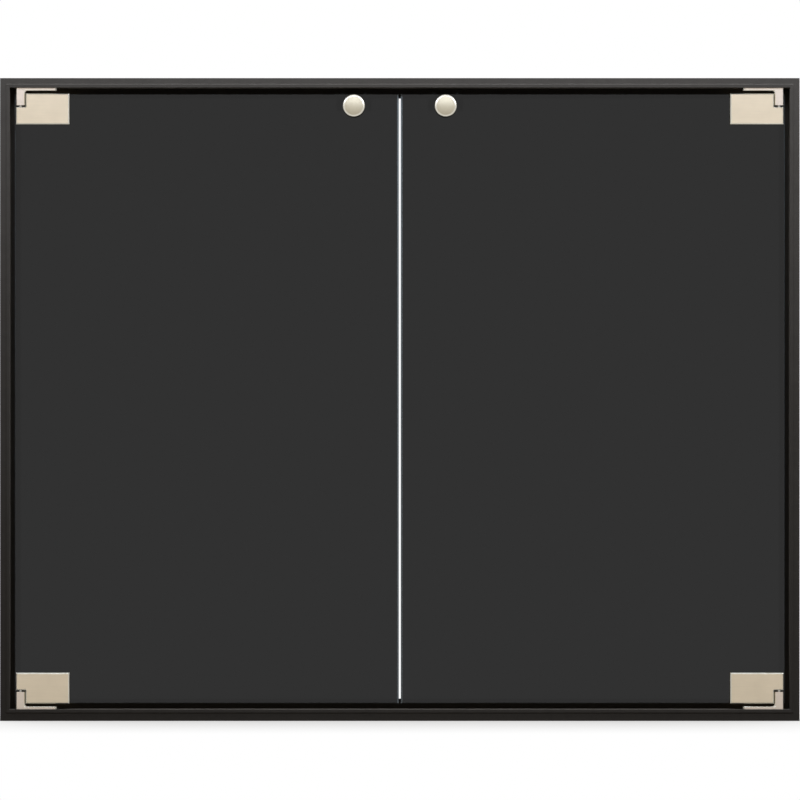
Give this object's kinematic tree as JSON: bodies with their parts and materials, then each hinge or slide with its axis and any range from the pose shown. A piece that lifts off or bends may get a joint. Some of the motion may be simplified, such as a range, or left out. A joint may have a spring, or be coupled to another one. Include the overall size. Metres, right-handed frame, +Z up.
{
  "type": "fireplace glass door",
  "caption": "Pair of frameless tinted glass fireplace doors on corner pivots with clamp hinges and domed knobs, in a slim mitred metal frame for a masonry opening.",
  "frame": {"origin": "the middle of the underside of the strip that the sill stands on, halfway through the frame's depth", "axes": "+Z up, +X to the right as seen from the room, the front faces -Y"},
  "size_m": [0.908, 0.0473, 0.73],
  "materials": {
    "powder_coat": "dark bronze powder coat on extruded aluminium, fine satin texture",
    "mill_aluminium": "mill finish aluminium bar",
    "stainless_steel": "plain stainless steel",
    "zinc_plated_steel": "zinc plated steel",
    "black_zinc_steel": "black zinc plated steel",
    "satin_nickel": "satin nickel plate, warm",
    "satin_nickel_knob": "satin nickel plate on a turned knob",
    "bearing_bronze": "sintered bearing bronze",
    "gasket_rubber": "black heat resistant gasket",
    "fibre": "grey-brown fibre",
    "tinted_glass": "dark grey tempered glass, polished, arrised edges",
    "catch_plastic": "black moulded heat resistant plastic",
    "ferrite": "ferrite magnet"
  },
  "bodies": {
    "frame": {"top_rail": "powder_coat", "bottom_rail": "powder_coat", "left_jamb": "powder_coat", "right_jamb": "powder_coat", "sill_strip": "powder_coat", "left_top_corner_key": "mill_aluminium", "right_top_corner_key": "mill_aluminium", "left_bottom_corner_key": "mill_aluminium", "right_bottom_corner_key": "mill_aluminium", "corner_key_screws": "zinc_plated_steel", "left_top_hinge_bracket": "satin_nickel", "right_top_hinge_bracket": "satin_nickel", "left_bottom_hinge_bracket": "satin_nickel", "right_bottom_hinge_bracket": "satin_nickel", "hinge_bracket_screws": "stainless_steel", "left_top_hinge_pin": "stainless_steel", "right_top_hinge_pin": "stainless_steel", "left_bottom_hinge_pin": "stainless_steel", "right_bottom_hinge_pin": "stainless_steel", "left_catch_housing": "catch_plastic", "left_catch_magnet": "ferrite", "left_catch_pole_plates": "zinc_plated_steel", "right_catch_housing": "catch_plastic", "right_catch_magnet": "ferrite", "right_catch_pole_plates": "zinc_plated_steel", "catch_screws": "black_zinc_steel"},
    "left_door": {"left_top_pivot_bush": "bearing_bronze", "left_top_clamp_block": "satin_nickel", "left_top_clamp_gaskets": "gasket_rubber", "left_top_clamp_back_plate": "satin_nickel", "left_bottom_pivot_bush": "bearing_bronze", "left_bottom_clamp_block": "satin_nickel", "left_bottom_clamp_gaskets": "gasket_rubber", "left_bottom_clamp_back_plate": "satin_nickel", "left_clamp_screws": "stainless_steel", "left_clamp_sleeves": "fibre", "left_glass": "tinted_glass", "left_knob": "satin_nickel_knob", "left_knob_washers": "fibre", "left_knob_screw": "stainless_steel", "left_strike_plate": "zinc_plated_steel"},
    "right_door": {"right_top_pivot_bush": "bearing_bronze", "right_top_clamp_block": "satin_nickel", "right_top_clamp_gaskets": "gasket_rubber", "right_top_clamp_back_plate": "satin_nickel", "right_bottom_pivot_bush": "bearing_bronze", "right_bottom_clamp_block": "satin_nickel", "right_bottom_clamp_gaskets": "gasket_rubber", "right_bottom_clamp_back_plate": "satin_nickel", "right_clamp_screws": "stainless_steel", "right_clamp_sleeves": "fibre", "right_glass": "tinted_glass", "right_knob": "satin_nickel_knob", "right_knob_washers": "fibre", "right_knob_screw": "stainless_steel", "right_strike_plate": "zinc_plated_steel"}
  },
  "joints": [
    {"name": "left_door_hinge", "type": "hinge", "parent": "frame", "child": "left_door", "pos_m": [-0.4309, -0.0138, 0.3661], "axis": [0, 0, -1], "range_deg": [0, 135]},
    {"name": "right_door_hinge", "type": "hinge", "parent": "frame", "child": "right_door", "pos_m": [0.4309, -0.0138, 0.3661], "axis": [0, 0, 1], "range_deg": [0, 135]}
  ]
}
